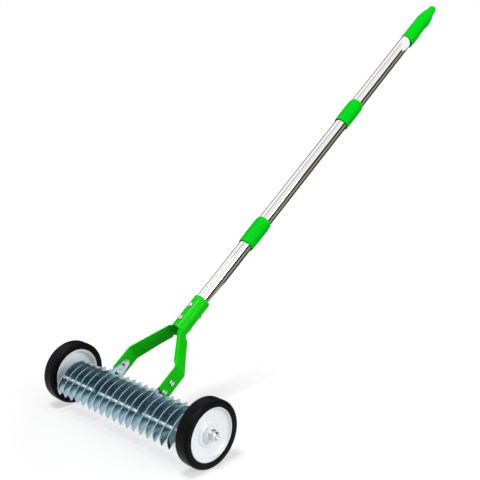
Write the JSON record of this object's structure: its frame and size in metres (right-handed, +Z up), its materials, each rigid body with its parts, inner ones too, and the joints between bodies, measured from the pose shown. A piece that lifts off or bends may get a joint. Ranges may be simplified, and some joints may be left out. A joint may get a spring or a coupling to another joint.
{
  "type": "lawn aerator",
  "caption": "Rolling lawn aerator: hooked steel blades turn between two rubber-tyred wheels under a green fork and a long plug-together handle.",
  "frame": {"origin": "on the ground under the middle of the machine's bounding box", "axes": "+Z up, +X along the axle, +Y towards the handle's grip"},
  "size_m": [0.4238, 1.0002, 0.768],
  "materials": {
    "green_paint": "glossy green powder coat",
    "green_plastic": "satin green moulded plastic",
    "polished_tube": "polished stainless tube",
    "blade_steel": "bright zinc plate",
    "axle_steel": "zinc plate",
    "fastener_steel": "bright plated steel",
    "tyre_rubber": "smooth black rubber",
    "hub_plastic": "white moulded plastic"
  },
  "bodies": {
    "frame": {"fork_arm_left": "green_paint", "fork_arm_right": "green_paint", "hanger_left": "blade_steel", "hanger_right": "blade_steel", "arm_bolt_left_lower": "fastener_steel", "arm_bolt_left_upper": "fastener_steel", "arm_bolt_right_lower": "fastener_steel", "arm_bolt_right_upper": "fastener_steel", "socket_bolt_lower": "fastener_steel", "socket_bolt_upper": "fastener_steel", "tube_lower": "polished_tube", "collar_lower": "green_plastic"},
    "blade_roller": {"axle": "axle_steel", "blade_01": "blade_steel", "blade_02": "blade_steel", "blade_03": "blade_steel", "blade_04": "blade_steel", "blade_05": "blade_steel", "blade_06": "blade_steel", "blade_07": "blade_steel", "blade_08": "blade_steel", "blade_09": "blade_steel", "blade_10": "blade_steel", "blade_11": "blade_steel", "blade_12": "blade_steel", "blade_13": "blade_steel", "blade_14": "blade_steel", "blade_15": "blade_steel", "blade_16": "blade_steel", "spacer_01": "axle_steel", "spacer_02": "axle_steel", "spacer_03": "axle_steel", "spacer_04": "axle_steel", "spacer_05": "axle_steel", "spacer_06": "axle_steel", "spacer_07": "axle_steel", "spacer_08": "axle_steel", "spacer_09": "axle_steel", "spacer_10": "axle_steel", "spacer_11": "axle_steel", "spacer_12": "axle_steel", "spacer_13": "axle_steel", "spacer_14": "axle_steel", "spacer_15": "axle_steel", "spacer_16": "axle_steel", "spacer_17": "axle_steel", "tie_rod_left": "fastener_steel", "tie_rod_centre": "fastener_steel", "tie_rod_right": "fastener_steel", "cap_nut_left": "fastener_steel", "cap_nut_right": "fastener_steel"},
    "wheel_left": {"tyre_left": "tyre_rubber", "hub_left": "hub_plastic"},
    "wheel_right": {"tyre_right": "tyre_rubber", "hub_right": "hub_plastic"},
    "handle_middle": {"tube_middle": "polished_tube", "collar_upper": "green_plastic"},
    "handle_top": {"tube_upper": "polished_tube", "grip": "green_plastic"}
  },
  "joints": [
    {"name": "roller_spin", "type": "hinge", "parent": "frame", "child": "blade_roller", "pos_m": [0, -0.44025, 0.05982], "axis": [1, 0, 0], "continuous": true},
    {"name": "wheel_left_spin", "type": "hinge", "parent": "blade_roller", "child": "wheel_left", "pos_m": [-0.188, -0.44025, 0.05982], "axis": [1, 0, 0], "continuous": true},
    {"name": "wheel_right_spin", "type": "hinge", "parent": "blade_roller", "child": "wheel_right", "pos_m": [0.188, -0.44025, 0.05982], "axis": [1, 0, 0], "continuous": true},
    {"name": "middle_tube_pull", "type": "slide", "parent": "frame", "child": "handle_middle", "axis": [0, 0.809, 0.5878], "range_m": [0, 0.04]},
    {"name": "upper_tube_pull", "type": "slide", "parent": "handle_middle", "child": "handle_top", "axis": [0, 0.809, 0.5878], "range_m": [0, 0.04]}
  ]
}
